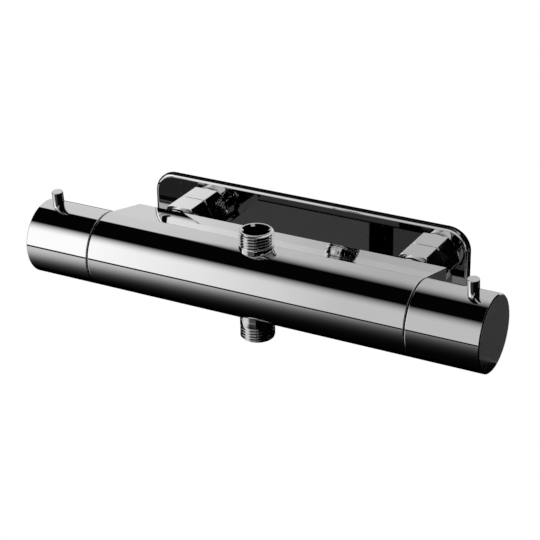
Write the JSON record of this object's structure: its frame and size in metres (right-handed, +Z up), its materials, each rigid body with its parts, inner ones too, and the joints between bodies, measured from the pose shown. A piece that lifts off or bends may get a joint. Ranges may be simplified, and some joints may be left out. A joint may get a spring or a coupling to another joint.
{
  "type": "thermostatic shower valve",
  "caption": "Exposed thermostatic bar valve with a temperature handle, a flow and diverter handle, union nuts, a wall plate and threaded outlets above and below.",
  "frame": {"origin": "centre of the wall plate's back face, midway between the two inlets and level with the bar's axis", "axes": "+X along the bar to the flow handle, +Y towards the wall, +Z up"},
  "size_m": [0.2992, 0.0895, 0.0692],
  "materials": {
    "polished_chrome": "mirror polished chrome plate over brass",
    "satin_cap": "satin chrome plate",
    "bright_trim": "mirror polished chrome plate",
    "brass": "turned brass",
    "copper": "turned copper alloy",
    "steel": "turned and pressed stainless steel",
    "spring_steel": "drawn spring wire",
    "rubber": "moulded black rubber",
    "black_plastic": "moulded black acetal",
    "white_plastic": "moulded natural acetal",
    "red_plastic": "moulded red acetal",
    "ceramic": "lapped white alumina"
  },
  "bodies": {
    "valve": {"mixer_body": "polished_chrome", "top_outlet": "bright_trim", "bottom_outlet": "bright_trim", "wall_plate": "polished_chrome", "wall_seals": "rubber", "hot_inlet_tail": "bright_trim", "cold_inlet_tail": "bright_trim", "hot_snap_ring": "steel", "cold_snap_ring": "steel", "hot_washer": "rubber", "cold_washer": "rubber", "hot_strainer": "steel", "cold_strainer": "steel", "hot_check_housing": "white_plastic", "cold_check_housing": "white_plastic", "hot_check_spring": "spring_steel", "cold_check_spring": "spring_steel", "left_glide_ring": "black_plastic", "right_glide_ring": "black_plastic", "thermostat_housing": "brass", "thermostat_nut": "brass", "thermostat_orings": "rubber", "temp_stop_ring": "white_plastic", "return_spring": "spring_steel", "flow_housing": "white_plastic", "flow_nut": "brass", "flow_orings": "rubber", "flow_stop_ring": "white_plastic", "disc_seal": "rubber", "fixed_disc": "ceramic"},
    "temperature_knob": {"temp_handle": "polished_chrome", "temp_cap": "satin_cap", "temp_pin": "bright_trim", "temp_insert": "black_plastic", "temp_screw": "steel", "thermostat_spindle": "brass", "spindle_oring": "rubber"},
    "thermostat_slide": {"pusher": "brass", "overtravel_spring": "spring_steel", "wax_element": "copper", "shuttle": "white_plastic"},
    "flow_knob": {"flow_handle": "polished_chrome", "flow_cap": "satin_cap", "flow_pin": "bright_trim", "flow_insert": "black_plastic", "flow_screw": "steel", "flow_spindle": "brass", "flow_spindle_oring": "rubber", "moving_disc": "ceramic"},
    "hot_nut": {"hot_union_nut": "bright_trim"},
    "cold_nut": {"cold_union_nut": "bright_trim"},
    "hot_check": {"hot_poppet": "red_plastic"},
    "cold_check": {"cold_poppet": "red_plastic"}
  },
  "joints": [
    {"name": "temperature_turn", "type": "hinge", "parent": "valve", "child": "temperature_knob", "pos_m": [-0.1044, -0.0665, 0], "axis": [1, 0, 0], "range_deg": [-100, 200]},
    {"name": "thermostat_travel", "type": "slide", "parent": "valve", "child": "thermostat_slide", "axis": [1, 0, 0], "range_m": [-0.00225, 0.00113], "deforming": ["return_spring"]},
    {"name": "flow_turn", "type": "hinge", "parent": "valve", "child": "flow_knob", "pos_m": [0.1044, -0.0665, 0], "axis": [1, 0, 0], "range_deg": [-90, 90]},
    {"name": "hot_nut_spin", "type": "hinge", "parent": "valve", "child": "hot_nut", "pos_m": [-0.08, -0.0192, 0], "axis": [0, 1, 0], "continuous": true},
    {"name": "cold_nut_spin", "type": "hinge", "parent": "valve", "child": "cold_nut", "pos_m": [0.08, -0.0192, 0], "axis": [0, 1, 0], "continuous": true},
    {"name": "hot_check_lift", "type": "slide", "parent": "valve", "child": "hot_check", "axis": [0, -1, 0], "range_m": [0, 0.0025], "stiffness_N_per_m": 60, "springref_m": -0.003, "deforming": ["hot_check_spring"]},
    {"name": "cold_check_lift", "type": "slide", "parent": "valve", "child": "cold_check", "axis": [0, -1, 0], "range_m": [0, 0.0025], "stiffness_N_per_m": 60, "springref_m": -0.003, "deforming": ["cold_check_spring"]}
  ],
  "couplings": [
    {"joint": "thermostat_travel", "follows": "temperature_turn", "m_per_rad": -0.00063662}
  ]
}
